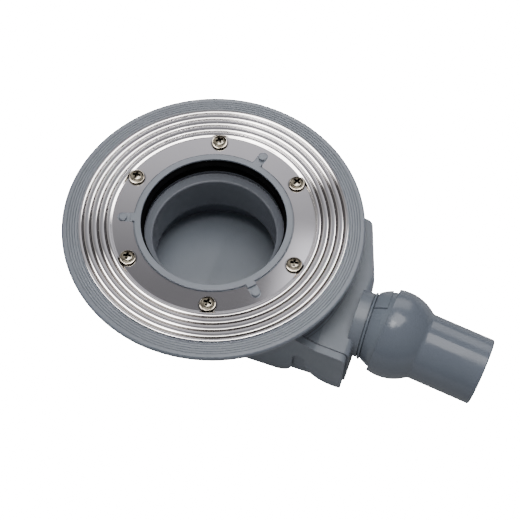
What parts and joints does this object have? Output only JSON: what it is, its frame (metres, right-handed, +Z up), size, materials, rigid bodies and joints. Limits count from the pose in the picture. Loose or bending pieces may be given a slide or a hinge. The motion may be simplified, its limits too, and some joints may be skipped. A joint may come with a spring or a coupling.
{
  "type": "floor drain",
  "caption": "Low shower floor drain in grey plastic: round flange with a steel clamping ring over a trap chamber, and a swivelling side outlet.",
  "frame": {"origin": "middle of the mouth, level with the collar and the top of the flange rim", "axes": "+Z up out of the mouth, +X along the outlet neck, +Y away from the side cover"},
  "size_m": [0.3274, 0.22, 0.0836],
  "materials": {
    "body_plastic": "satin",
    "cover_plastic": "satin",
    "tube_plastic": "satin",
    "ball_plastic": "semi-gloss",
    "pipe_plastic": "semi-gloss",
    "ring_steel": "cold-rolled sheet",
    "screw_steel": "nickel plated",
    "insert_brass": "turned",
    "black_rubber": "matt"
  },
  "bodies": {
    "drain": {"drain_body": "body_plastic", "side_cover": "cover_plastic", "inlet_tube": "tube_plastic", "tube_seal": "black_rubber", "mouth_seal": "black_rubber", "clamp_ring": "ring_steel", "clamp_screws": "screw_steel", "screw_inserts": "insert_brass", "outlet_ball": "ball_plastic", "neck_seal": "black_rubber"},
    "swivel": {"swivel_seal": "black_rubber"},
    "outlet": {"outlet_pipe": "pipe_plastic"}
  },
  "joints": [
    {"name": "outlet_turn", "type": "hinge", "parent": "drain", "child": "swivel", "pos_m": [0.1468, -0.022, -0.0441], "axis": [1, 0, 0], "range_deg": [-40, 50]},
    {"name": "outlet_tilt", "type": "hinge", "parent": "swivel", "child": "outlet", "pos_m": [0.1468, -0.022, -0.0441], "axis": [0, 0.585, -0.8111], "range_deg": [-6, 9]}
  ]
}
